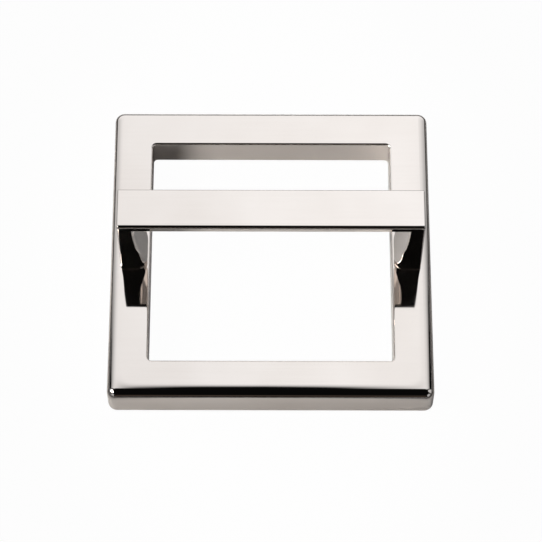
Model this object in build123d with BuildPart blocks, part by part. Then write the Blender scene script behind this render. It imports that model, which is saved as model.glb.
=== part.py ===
# Square-frame cabinet pull.
#
# A square ring lies flat on the drawer front as a back plate. A thin strap on two flared
# legs stands on it as the grip. Two machine screws come from inside the drawer, pass
# through the ring and are tightened into the legs, so they clamp the three together.
#
# Millimetres. The origin is the centre of the back face, +X runs along the strap and
# +Z points out of the drawer front.

import os

from build123d import *

# Fixing screws
screw_inset = 5.0  # from the ring's outside to a screw's axis, which sets them 64 apart
screw_radius = 2.0  # M4
screw_hole_clearance = 0.25  # radial, in the ring
thread_height = 0.35  # radial, from the screw's outside to the drilled core in the leg
thread_depth = 6.0  # how far the drilled core runs up the leg

# Square ring
base_side = 74.0
base_thickness = 7.75
rail_width = 9.1  # from the ring's outside to its opening
base_edge_round = 2.1  # outer edge of the visible face
base_corner_extra = 0.1  # the plan corners are this much rounder than the edge
opening_edge_round = 0.5
opening_corner_round = 0.9
base_back_round = 0.3  # broken edge against the drawer front

# Strap
projection = 28.5  # drawer front to the top of the strap
strap_inset = 2.5  # from the ring's outside to the strap's end
strap_thickness = 1.95
strap_depth = 9.9
strap_edge_round = 0.7  # the two long edges of its top
strap_underside_round = 0.3  # the two long edges below
strap_end_round = 0.3  # around each end, down the leg's outer edges to the foot

# Legs
leg_top_thickness = 3.55
leg_inner_round = 0.5  # edges towards the grip
foot_height = 0.8  # the straight edge that the flare ends on
foot_toe_round = 2.6  # the foot's corners towards the grip, seen from above
foot_edge_round = 0.25

# Sizes that follow from the ones above
opening_side = base_side - 2 * rail_width
base_corner_round = base_edge_round + base_corner_extra
screw_x = base_side / 2 - screw_inset
screw_hole_radius = screw_radius + screw_hole_clearance
thread_core_radius = screw_radius - thread_height

strap_length = base_side - 2 * strap_inset
strap_underside = projection - strap_thickness

# A leg stands straight on its outside and flares inwards as far as the flat of the rail goes
leg_outer = strap_length / 2
leg_top = projection - strap_thickness / 2  # the leg runs on into the strap
leg_top_inner = leg_outer - leg_top_thickness
foot_inner = opening_side / 2 + opening_edge_round
foot_length = leg_outer - foot_inner
foot_top = base_thickness + foot_height

os.makedirs("parts", exist_ok=True)

# Square ring: a rounded square with a square opening, softened on the visible face
with BuildPart() as base_frame:
    with BuildSketch():
        RectangleRounded(base_side, base_side, base_corner_round)
        RectangleRounded(opening_side, opening_side, opening_corner_round, mode=Mode.SUBTRACT)
    extrude(amount=base_thickness)

    visible_face = base_frame.faces().sort_by(Axis.Z)[-1]
    fillet(visible_face.outer_wire().edges(), radius=base_edge_round)
    visible_face = base_frame.faces().sort_by(Axis.Z)[-1]
    fillet(visible_face.inner_wires()[0].edges(), radius=opening_edge_round)
    back_face = base_frame.faces().sort_by(Axis.Z)[0]
    fillet(back_face.edges(), radius=base_back_round)

    with Locations((-screw_x, 0, base_thickness), (screw_x, 0, base_thickness)):
        Hole(radius=screw_hole_radius)

# Strap and legs: one casting, its two legs flared inwards to a foot
with BuildPart() as bar_handle:
    with BuildSketch(Plane.XZ):
        with BuildLine():
            outer = Line((leg_outer, foot_top), (leg_outer, leg_top))
            inner = TangentArc((leg_top_inner, leg_top), (foot_inner, foot_top), tangent=(0, -1))
            Line(outer @ 1, inner @ 0)
            Line(inner @ 1, outer @ 0)
        make_face()
    extrude(amount=strap_depth / 2, both=True)
    fillet(bar_handle.edges().filter_by(GeomType.CIRCLE), radius=leg_inner_round)

    # The foot's outline, with its round toe, trims the leg's corners from above
    with BuildSketch(Plane.XY.offset(foot_top), mode=Mode.PRIVATE) as foot:
        with Locations((foot_inner, 0)):
            Rectangle(foot_length, strap_depth, align=(Align.MIN, Align.CENTER))
        fillet(foot.vertices().group_by(Axis.X)[0], radius=foot_toe_round)
    extrude(foot.sketch, amount=leg_top - foot_top, mode=Mode.INTERSECT)
    extrude(foot.sketch, amount=-foot_height)
    mirror(about=Plane.YZ)

    with BuildSketch(Plane.YZ) as strap_section:
        with Locations((0, strap_underside)):
            Rectangle(strap_depth, strap_thickness, align=(Align.CENTER, Align.MIN))
        fillet(strap_section.vertices().group_by(Axis.Y)[-1], radius=strap_edge_round)
        fillet(strap_section.vertices().group_by(Axis.Y)[0], radius=strap_underside_round)
    extrude(amount=leg_outer, both=True)

    # Broken edges: around the two ends, then around the two feet
    end_faces = bar_handle.faces().filter_by(Axis.X).sort_by(Axis.X)
    end_edges = end_faces[0].edges() + end_faces[-1].edges()
    fillet(end_edges.filter_by_position(Axis.Z, foot_top, projection), radius=strap_end_round)
    fillet(bar_handle.edges().group_by(Axis.Z)[0], radius=foot_edge_round)

    # Screw cores, drilled upwards from the feet
    foot_planes = [
        Plane(origin=(x, 0, base_thickness), z_dir=(0, 0, -1)) for x in (-screw_x, screw_x)
    ]
    with Locations(*foot_planes):
        Hole(radius=thread_core_radius, depth=thread_depth)

base_frame.part.label = "base_frame"
bar_handle.part.label = "bar_handle"

export_step(base_frame.part, "parts/base_frame.step")
export_step(bar_handle.part, "parts/bar_handle.step")
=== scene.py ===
# %% [markdown]
# # A square-frame cabinet pull in polished nickel
#
# The pull is two zinc castings. A square ring lies on the drawer front as a back plate, and
# a thin strap on two flared legs stands on it as the grip. Both were buffed to a mirror and
# plated with nickel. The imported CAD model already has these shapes, down to the rounding of
# each edge, so it is loaded as it is and the work here goes into the finish and the studio.

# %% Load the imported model
import math

import bpy
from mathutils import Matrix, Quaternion, Vector

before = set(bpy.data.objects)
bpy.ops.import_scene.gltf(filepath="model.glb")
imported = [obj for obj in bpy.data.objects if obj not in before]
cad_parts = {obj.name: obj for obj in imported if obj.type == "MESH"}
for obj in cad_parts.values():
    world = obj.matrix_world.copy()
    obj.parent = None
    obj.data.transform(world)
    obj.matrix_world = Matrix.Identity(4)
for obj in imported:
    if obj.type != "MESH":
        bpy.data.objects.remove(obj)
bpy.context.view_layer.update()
MM = 0.001


print("CAD nodes:", sorted(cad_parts))

# %% [markdown]
# ## Camera
#
# The photograph looks down at the ring from the front, so steeply that the strap hides part
# of the opening behind it. A camera can be set by eye, but a mirror finish shows every
# degree of error as a wrong reflection. So the ring's four long edges, which are known to be
# a square, were used to work out where the camera stood, how long its lens was and how much
# it was rolled.

# %% Camera from the photograph
camera_place = Vector((-0.000572, -0.261616, 0.526620))
camera_aim = Vector((0.000046, -0.001550, 0.0))
camera_roll = math.radians(0.249)
lens_length, sensor_width = 166.88, 36  # these two are in mm in Blender
nearest_seen = 0.01

bpy.ops.object.select_all(action="DESELECT")
bpy.ops.object.camera_add(location=camera_place)
camera = bpy.context.object
camera.name = "photo_camera"
camera.rotation_mode = "QUATERNION"
facing = (camera_aim - camera_place).to_track_quat("-Z", "Y")
camera.rotation_quaternion = facing @ Quaternion((0, 0, 1), camera_roll)
camera.data.sensor_width = sensor_width
camera.data.lens = lens_length
camera.data.clip_start = nearest_seen
bpy.context.scene.camera = camera
print("camera distance in mm:", round((camera_aim - camera_place).length / MM, 1))

# %% [markdown]
# ## Helpers for materials
#
# Colours are written as sRGB hex values, the way a colour picker shows them, and one function
# turns them into the linear values that Blender computes with. Another adds a node: each of
# its inputs gets either a plain value or the output of an earlier node, which is then linked.
# With that, a material reads from top to bottom as a short list.

# %% Colour and node helpers
def linear(hex_colour):
    parts = [int(hex_colour[i : i + 2], 16) / 255 for i in (1, 3, 5)]
    return [c / 12.92 if c <= 0.04045 else ((c + 0.055) / 1.055) ** 2.4 for c in parts] + [1]


def add_node(tree, kind, inputs=None, **settings):
    node = tree.nodes.new(kind)
    for name, value in settings.items():
        setattr(node, name, value)
    for socket, value in (inputs or {}).items():
        if isinstance(value, bpy.types.NodeSocket):
            tree.links.new(value, node.inputs[socket])
        else:
            node.inputs[socket].default_value = value
    return node


def new_material(name):
    material = bpy.data.materials.new(name)
    material.use_nodes = True
    material.node_tree.nodes.clear()
    return material, material.node_tree


print("middle grey of a colour picker, linear:", round(linear("#808080")[0], 3))

# %% [markdown]
# ## Polished nickel: what the buffing wheel leaves
#
# Nickel is a warm white metal, a little yellower than chrome. The plating is only as smooth
# as the casting under it, and the casting was held against a buffing wheel by hand. That
# leaves two things in the mirror: very fine lines along the wheel's path, and broad shallow
# waves where the wheel dug in a little more. Both could be painted as colour, but then they
# would stay put when the light moves. As heights for a bump they bend the reflections.
#
# The heights are added up in millimetres. The real lines are about 0.02 mm apart, a tenth of
# a pixel here, so they are drawn 0.5 mm apart to show at all. On walls that face left and
# right the wheel ran along the wall, so there the pattern is turned.

# %% Buffing lines and waves as heights
def buffing_marks(tree, place):
    line_gap, line_run, line_height = 0.5 * MM, 26 * MM, 0.0011
    wave_size, wave_height = 9 * MM, 0.012
    end_wall_tilt = 0.75  # a wall whose normal points further sideways than this is an end wall

    normal = add_node(tree, "ShaderNodeTexCoord").outputs["Normal"]
    tilt = add_node(tree, "ShaderNodeSeparateXYZ", {0: normal})
    sideways = add_node(tree, "ShaderNodeMath", {0: tilt.outputs["X"]}, operation="ABSOLUTE")
    end_wall = add_node(
        tree,
        "ShaderNodeMath",
        {0: sideways.outputs[0], 1: end_wall_tilt},
        operation="GREATER_THAN",
    )
    across = (1 / line_run, 1 / line_gap, 1 / line_gap)
    turned = (1 / line_gap, 1 / line_run, 1 / line_gap)
    stretch = add_node(
        tree, "ShaderNodeMix", {0: end_wall.outputs[0], 4: across, 5: turned}, data_type="VECTOR"
    )
    line_place = add_node(
        tree, "ShaderNodeVectorMath", {0: place, 1: stretch.outputs[1]}, operation="MULTIPLY"
    )
    lines = add_node(
        tree,
        "ShaderNodeTexNoise",
        {"Vector": line_place.outputs[0], "Scale": 1.0, "Detail": 2.0, "Roughness": 0.6},
    )
    waves = add_node(
        tree, "ShaderNodeTexNoise", {"Vector": place, "Scale": 1 / wave_size, "Detail": 1.0}
    )
    fine = add_node(
        tree, "ShaderNodeMath", {0: lines.outputs["Fac"], 1: line_height}, operation="MULTIPLY"
    )
    height = add_node(
        tree,
        "ShaderNodeMath",
        {0: waves.outputs["Fac"], 1: wave_height, 2: fine.outputs[0]},
        operation="MULTIPLY_ADD",
    )
    # The lines are given back as well, because they also leave a trace in the tone
    return lines.outputs["Fac"], height.outputs[0]


print("buffing lines and waves are ready")

# %% [markdown]
# ## Polished nickel: the ring's dragged edges
#
# A flat face buffed on a soft wheel doesn't stay flat to its border. The wheel drags over the
# edge and takes off a few hundredths of a millimetre more there, up to a quarter at the middle
# of the front, so the mirror starts to turn away before the modelled rounding begins. In the
# photograph this is the soft shade beside the black line around the ring. The shape that
# counts, the rounding, is geometry. This is only the last fraction of a millimetre of it, so
# it is a height too, worked out from how far a point is from the ring's middle.

# %% Drag of the wheel across the edge
def drag_profile(tree, spot):
    drag_start, drag_end, drag_height = 33.5 * MM, 36.6 * MM, 0.3
    corner_blend = 5 * MM

    side = add_node(tree, "ShaderNodeMath", {0: spot.outputs["X"]}, operation="ABSOLUTE")
    front = add_node(tree, "ShaderNodeMath", {0: spot.outputs["Y"]}, operation="ABSOLUTE")
    reach = add_node(
        tree,
        "ShaderNodeMath",
        {0: side.outputs[0], 1: front.outputs[0], 2: corner_blend},
        operation="SMOOTH_MAX",
    )
    return add_node(
        tree,
        "ShaderNodeMapRange",
        {
            "Value": reach.outputs[0],
            "From Min": drag_start,
            "From Max": drag_end,
            "To Min": drag_height,
            "To Max": 0.0,
        },
        interpolation_type="SMOOTHERSTEP",
    ).outputs["Result"]


print("drag across the edge is ready")

# %% Drag of the wheel along the edge
def drag_share(tree, spot):
    half_side = 37 * MM
    middle, front_more = 0.45, -0.35  # the front is at negative Y
    off_centre, less_at_ends = 0.12, -0.56

    to_front = add_node(
        tree,
        "ShaderNodeMath",
        {0: spot.outputs["Y"], 1: front_more / half_side, 2: middle},
        operation="MULTIPLY_ADD",
    )
    along = add_node(
        tree,
        "ShaderNodeMath",
        {0: spot.outputs["X"], 1: 1 / half_side, 2: off_centre},
        operation="MULTIPLY_ADD",
    )
    square = add_node(
        tree, "ShaderNodeMath", {0: along.outputs[0], 1: along.outputs[0]}, operation="MULTIPLY"
    )
    to_ends = add_node(
        tree,
        "ShaderNodeMath",
        {0: square.outputs[0], 1: less_at_ends, 2: 1.0},
        operation="MULTIPLY_ADD",
    )
    return add_node(
        tree,
        "ShaderNodeMath",
        {0: to_front.outputs[0], 1: to_ends.outputs[0]},
        operation="MULTIPLY",
    ).outputs[0]


def edge_drag(tree, place):
    spot = add_node(tree, "ShaderNodeSeparateXYZ", {0: place})
    return add_node(
        tree,
        "ShaderNodeMath",
        {0: drag_profile(tree, spot), 1: drag_share(tree, spot)},
        operation="MULTIPLY",
    ).outputs[0]


print("drag along the edge is ready")

# %% [markdown]
# ## Polished nickel: colour and gloss
#
# New nickel plate has almost one colour. Where the plating bath ran a little slower it is
# slightly greyer, over patches of a finger's width, and the buffing lines run through it as
# faint streaks. The gloss varies in the same way, from a clear mirror to a breath of haze. A
# metal needs only its colour, full metallic and a low roughness, and the default IOR is kept.
# Both castings get the same finish, and the ring gets its dragged edges as well.

# %% Tone of the plate
noise_low, noise_high = 0.3, 0.7  # most of a noise texture lies between these two


def plate_tone(tree, place, streaks):
    patch_size, streak_share = 20 * MM, 0.17
    bright, greyer = linear("#ECE5E0"), linear("#E4DCD6")

    patches = add_node(tree, "ShaderNodeTexNoise", {"Vector": place, "Scale": 1 / patch_size})
    blend = add_node(
        tree,
        "ShaderNodeMix",
        {0: streak_share, 2: patches.outputs["Fac"], 3: streaks},
        data_type="FLOAT",
    )
    grey = add_node(
        tree,
        "ShaderNodeMapRange",
        {"Value": blend.outputs[0], "From Min": noise_low, "From Max": noise_high},
    )
    return add_node(
        tree, "ShaderNodeMix", {0: grey.outputs["Result"], 6: bright, 7: greyer}, data_type="RGBA"
    ).outputs[2]


print("tone of the plate is ready")

# %% Gloss of the plate
def plate_gloss(tree, place):
    haze_size = 12 * MM
    clear, hazy = 0.03, 0.06

    haze = add_node(tree, "ShaderNodeTexNoise", {"Vector": place, "Scale": 1 / haze_size})
    return add_node(
        tree,
        "ShaderNodeMapRange",
        {
            "Value": haze.outputs["Fac"],
            "From Min": noise_low,
            "From Max": noise_high,
            "To Min": clear,
            "To Max": hazy,
        },
    ).outputs["Result"]


print("gloss of the plate is ready")

# %% Nickel plate on both castings
def polished_nickel(name, is_ring):
    # Nickel plate on buffed zinc: to the eye a warm white mirror, faintly streaked and hazy
    material, tree = new_material(name)
    place = add_node(tree, "ShaderNodeTexCoord").outputs["Object"]
    streaks, height = buffing_marks(tree, place)
    if is_ring:
        height = add_node(
            tree, "ShaderNodeMath", {0: height, 1: edge_drag(tree, place)}, operation="ADD"
        ).outputs[0]
    bump = add_node(tree, "ShaderNodeBump", {"Height": height, "Distance": MM})
    shader = add_node(
        tree,
        "ShaderNodeBsdfPrincipled",
        {
            "Base Color": plate_tone(tree, place, streaks),
            "Metallic": 1.0,
            "Roughness": plate_gloss(tree, place),
            "Normal": bump.outputs["Normal"],
        },
    )
    add_node(tree, "ShaderNodeOutputMaterial", {"Surface": shader.outputs["BSDF"]})
    return material


for node_name in ("base_frame", "bar_handle"):
    finish = polished_nickel("polished_nickel_" + node_name, node_name == "base_frame")
    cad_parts[node_name].material_slots[0].material = finish
    print("finish on", node_name, "with", len(finish.node_tree.nodes), "nodes")

# %% [markdown]
# ## Floor
#
# The photograph's background is plain white paper. Lit until it is white, it would flood the
# metal with light and wash out its dark lines. So the paper has its own pale colour and takes
# light and shadow, and for the camera most of it is replaced by a plain white of strength 1.
# The metal sees that white too, but faintly, because what it mirrors is the strip of paper
# right at its foot, in its own shadow. Further out the paper's colour is painted dark as painted
# shade for the light falling off away from the object: the black line along the ring's front
# edge reaches down to where that painted shade begins in the mirror.

# %% Floor plane
floor_side, floor_drop = 6, 0.05 * MM  # just under the castings, so the faces don't coincide

bpy.ops.object.select_all(action="DESELECT")
bpy.ops.mesh.primitive_plane_add(size=floor_side, location=(0, 0, -floor_drop))
floor = bpy.context.object
floor.name = "pale_floor"
print("floor is", floor.dimensions.x, "m wide")

# %% Pale paper, painted darker further out as painted shade
falloff_shade_start, falloff_shade_end, falloff_shade_narrow = 57 * MM, 100 * MM, (1.5, 1, 1)

# Matt paper: a pale grey with no gloss, which shows each shadow; further out its colour is painted
# dark grey as painted shade
material, tree = new_material("pale_paper")
floor.data.materials.append(material)
spot = add_node(
    tree,
    "ShaderNodeVectorMath",
    {0: add_node(tree, "ShaderNodeNewGeometry").outputs["Position"], 1: falloff_shade_narrow},
    operation="MULTIPLY",
)
from_middle = add_node(tree, "ShaderNodeVectorMath", {0: spot.outputs[0]}, operation="LENGTH")
painted_falloff_shade = add_node(
    tree,
    "ShaderNodeMapRange",
    {"Value": from_middle.outputs["Value"], "From Min": falloff_shade_start, "From Max": falloff_shade_end},
    interpolation_type="SMOOTHSTEP",
)
# Painted shade: further from the middle the colour turns from the pale paper to a dark grey,
# standing in for the light falling off there
tone = add_node(
    tree,
    "ShaderNodeMix",
    {0: painted_falloff_shade.outputs["Result"], 6: linear("#CDCCCB"), 7: linear("#3C3B3A")},
    data_type="RGBA",
)
paper = add_node(tree, "ShaderNodeBsdfDiffuse", {"Color": tone.outputs[2]})
# The printed distance is where the painted shade starts to show
print("the table starts to show", round(falloff_shade_start / MM), "mm in front of the middle")

# %% White for the camera
floor_white_seen, floor_white_mirrored = 0.98, 0.03
plain_white = linear("#FFFFFF")

rays = add_node(tree, "ShaderNodeLightPath")
white = add_node(tree, "ShaderNodeEmission", {"Color": plain_white, "Strength": 1.0})
seen = add_node(
    tree,
    "ShaderNodeMath",
    {0: rays.outputs["Is Camera Ray"], 1: rays.outputs["Is Transmission Ray"]},
    operation="MAXIMUM",
)
mirrored = add_node(
    tree,
    "ShaderNodeMath",
    {0: rays.outputs["Is Glossy Ray"], 1: floor_white_mirrored},
    operation="MULTIPLY",
)
share = add_node(
    tree,
    "ShaderNodeMath",
    {0: seen.outputs[0], 1: floor_white_seen, 2: mirrored.outputs[0]},
    operation="MULTIPLY_ADD",
)
surface = add_node(
    tree, "ShaderNodeMixShader", {0: share.outputs[0], 1: paper.outputs[0], 2: white.outputs[0]}
)
add_node(tree, "ShaderNodeOutputMaterial", {"Surface": surface.outputs[0]})
print("floor material has", len(tree.nodes), "nodes")

# %% [markdown]
# ## Backdrop
#
# A mirror has no look of its own: it shows the studio. The bright faces of the ring and the
# strap all reflect one tall white backdrop behind the object, and its ends and its top can be
# read from where those faces turn dark. It is brightest in the middle, fades towards both
# ends, a little sooner on the right, and fades out overhead. A lamp would light the object
# the same way but show as a hard patch, so the backdrop is a card that glows.

# %% Glowing cards, and the backdrop as the first
def studio_card(name, place, width, height, facing):
    bpy.ops.object.select_all(action="DESELECT")
    bpy.ops.mesh.primitive_plane_add(size=1, location=place)
    card = bpy.context.object
    card.name = name
    card.scale = (width, height, 1)
    card.rotation_mode = "QUATERNION"
    card.rotation_quaternion = facing
    card.visible_camera = False
    material, tree = new_material(name + "_glow")
    card.data.materials.append(material)
    print(name, "is", round(width, 2), "by", round(height, 2), "m")
    return tree


backdrop_away, backdrop_top = 0.62, 3.6
backdrop_middle, backdrop_half = -0.056, 1.37

tree = studio_card(
    "backdrop",
    (backdrop_middle, backdrop_away, backdrop_top / 2),
    2 * backdrop_half,
    backdrop_top,
    Vector((0, -1, 0)).to_track_quat("Z", "Y"),
)

# %% Fade towards the backdrop's ends and overhead
fade_from = 1.2

spot = add_node(
    tree, "ShaderNodeSeparateXYZ", {0: add_node(tree, "ShaderNodeNewGeometry").outputs["Position"]}
)
# The light falls off along the card as the height of an arch does, from 1 to 0 at its ends
along = add_node(
    tree,
    "ShaderNodeMath",
    {0: spot.outputs["X"], 1: 1 / backdrop_half, 2: -backdrop_middle / backdrop_half},
    operation="MULTIPLY_ADD",
)
square = add_node(
    tree, "ShaderNodeMath", {0: along.outputs[0], 1: along.outputs[0]}, operation="MULTIPLY"
)
left_over = add_node(
    tree, "ShaderNodeMath", {0: 1.0, 1: square.outputs[0]}, operation="SUBTRACT", use_clamp=True
)
arch = add_node(tree, "ShaderNodeMath", {0: left_over.outputs[0]}, operation="SQRT")
rise = add_node(
    tree,
    "ShaderNodeMapRange",
    {
        "Value": spot.outputs["Z"],
        "From Min": fade_from,
        "From Max": backdrop_top,
        "To Min": 1.0,
        "To Max": 0.0,
    },
    interpolation_type="SMOOTHSTEP",
)
sheet = add_node(
    tree, "ShaderNodeMath", {0: arch.outputs[0], 1: rise.outputs["Result"]}, operation="MULTIPLY"
)
print("backdrop fades out from", fade_from, "to", backdrop_top, "m")

# %% Lamp behind the backdrop
backdrop_level = 1.06
lamp_x, lamp_reach, lamp_gain = 0.085, 0.24, 1.1

off_lamp = add_node(
    tree, "ShaderNodeMath", {0: spot.outputs["X"], 1: lamp_x}, operation="SUBTRACT"
)
from_lamp = add_node(tree, "ShaderNodeMath", {0: off_lamp.outputs[0]}, operation="ABSOLUTE")
lamp = add_node(
    tree,
    "ShaderNodeMapRange",
    {
        "Value": from_lamp.outputs[0],
        "From Min": 0.0,
        "From Max": lamp_reach,
        "To Min": backdrop_level * lamp_gain,
        "To Max": backdrop_level,
    },
    interpolation_type="SMOOTHSTEP",
)
strength = add_node(
    tree, "ShaderNodeMath", {0: sheet.outputs[0], 1: lamp.outputs["Result"]}, operation="MULTIPLY"
)
glow = add_node(
    tree, "ShaderNodeEmission", {"Color": linear("#FBFDFF"), "Strength": strength.outputs[0]}
)
add_node(tree, "ShaderNodeOutputMaterial", {"Surface": glow.outputs[0]})
print("backdrop's highest level:", round(backdrop_level * lamp_gain, 3))

# %% [markdown]
# ## Key light
#
# One long softbox stands on the left, a little in front. It lights the paper in front of the
# ring, which the ring's front face mirrors, and it makes the small glint on the ring's near
# left corner. That glint is a picture of the softbox, so its slant gives the softbox its tilt,
# and the shadow inside the ring's opening gives its height.

# %% Long softbox on the left
key_turn, key_rise, key_away = math.radians(-103), math.radians(37), 0.9
key_width, key_height, key_slant = 0.6, 0.2, math.radians(-30)
key_level = 21.5

key_way = Vector(
    (
        math.sin(key_turn) * math.cos(key_rise),
        math.cos(key_turn) * math.cos(key_rise),
        math.sin(key_rise),
    )
)
tree = studio_card(
    "key_softbox",
    key_way * key_away,
    key_width,
    key_height,
    (-key_way).to_track_quat("Z", "Y") @ Quaternion((0, 0, 1), key_slant),
)
glow = add_node(
    tree, "ShaderNodeEmission", {"Color": linear("#FFFDFA"), "Strength": key_level}
)
add_node(tree, "ShaderNodeOutputMaterial", {"Surface": glow.outputs[0]})

# %% [markdown]
# ## Reflectors around the object
#
# The photograph's side of the studio is now right, but from most other sides the flat faces
# would mirror only the dark room and look like black glass. Four soft cards give them
# something pale to show: two tall ones, left and right, and two low ones at the front corners.
# They stand where hardly any face that the photograph shows can see them, and they are hidden
# from matt surfaces, so the floor keeps its shadows. A fifth card, dim and warm, stands low in
# front. Along the ring's black front edge the photograph has a faint brown line, which is its
# picture.
#
# A plain card would show with hard edges. In Object coordinates a card of any size reaches from
# -0.5 to 0.5, so a fade over the outer part of that range softens all of them alike.

# %% Soft reflector cards
reflectors = (
    # Name, turn from the back in degrees, distance, width, lowest and highest in metres,
    # level, colour
    ("left_reflector", -90, 1.0, 0.75, 0.05, 1.45, 0.65, "#FBFDFF"),
    ("right_reflector", 90, 1.0, 0.75, 0.05, 1.45, 0.65, "#FBFDFF"),
    ("front_left_reflector", -135, 1.3, 0.9, 0.07, 0.84, 0.5, "#FBFDFF"),
    ("front_right_reflector", 135, 1.3, 0.9, 0.07, 0.84, 0.5, "#FBFDFF"),
    ("front_warm_reflector", 180, 1.1, 0.9, 0.22, 0.6, 0.065, "#F0D8C4"),
)
card_edge, card_full = 0.5, 0.3

for name, turn, away, width, lowest, highest, level, colour in reflectors:
    way = Vector((math.sin(math.radians(turn)), math.cos(math.radians(turn)), 0))
    tree = studio_card(
        name,
        way * away + Vector((0, 0, (lowest + highest) / 2)),
        width,
        highest - lowest,
        (-way).to_track_quat("Z", "Y"),
    )
    bpy.data.objects[name].visible_diffuse = False
    place = add_node(tree, "ShaderNodeTexCoord").outputs["Object"]
    off_middle = add_node(tree, "ShaderNodeVectorMath", {0: place}, operation="ABSOLUTE")
    spot = add_node(tree, "ShaderNodeSeparateXYZ", {0: off_middle.outputs[0]})
    fades = [
        add_node(
            tree,
            "ShaderNodeMapRange",
            {
                "Value": spot.outputs[axis],
                "From Min": card_full,
                "From Max": card_edge,
                "To Min": most,
                "To Max": 0.0,
            },
            interpolation_type="SMOOTHSTEP",
        ).outputs["Result"]
        for axis, most in (("X", level), ("Y", 1.0))
    ]
    soft = add_node(tree, "ShaderNodeMath", {0: fades[0], 1: fades[1]}, operation="MULTIPLY")
    glow = add_node(
        tree, "ShaderNodeEmission", {"Color": linear(colour), "Strength": soft.outputs[0]}
    )
    add_node(tree, "ShaderNodeOutputMaterial", {"Surface": glow.outputs[0]})

# %% [markdown]
# ## Room
#
# Behind the camera the studio is dark, which gives the metal its black lines. Far away, the
# white paper reaches the horizon, so camera, mirror and glass rays that leave the scene near
# the horizon find white as well.

# %% Dark room with a white horizon
room_level, horizon_start, horizon_end = 0.003, 0.005, 0.03

world = bpy.data.worlds.new("studio_room")
bpy.context.scene.world = world
world.use_nodes = True
tree = world.node_tree
tree.nodes.clear()
rays = add_node(tree, "ShaderNodeLightPath")
way = add_node(
    tree, "ShaderNodeSeparateXYZ", {0: add_node(tree, "ShaderNodeTexCoord").outputs["Generated"]}
)
horizon = add_node(
    tree,
    "ShaderNodeMapRange",
    {
        "Value": way.outputs["Z"],
        "From Min": horizon_start,
        "From Max": horizon_end,
        "To Min": 1.0,
        "To Max": 0.0,
    },
)
see_through = add_node(
    tree,
    "ShaderNodeMath",
    {0: rays.outputs["Is Glossy Ray"], 1: rays.outputs["Is Transmission Ray"]},
    operation="MAXIMUM",
)
low = add_node(
    tree,
    "ShaderNodeMath",
    {0: see_through.outputs[0], 1: horizon.outputs["Result"]},
    operation="MULTIPLY",
)
share = add_node(
    tree,
    "ShaderNodeMath",
    {0: low.outputs[0], 1: rays.outputs["Is Camera Ray"]},
    operation="MAXIMUM",
)
dark = add_node(tree, "ShaderNodeBackground", {"Color": plain_white, "Strength": room_level})
white = add_node(tree, "ShaderNodeBackground", {"Color": plain_white, "Strength": 1.0})
surface = add_node(
    tree, "ShaderNodeMixShader", {0: share.outputs[0], 1: dark.outputs[0], 2: white.outputs[0]}
)
add_node(tree, "ShaderNodeOutputWorld", {"Surface": surface.outputs[0]})
bpy.context.scene.view_settings.view_transform = "Standard"
print("room level:", room_level)
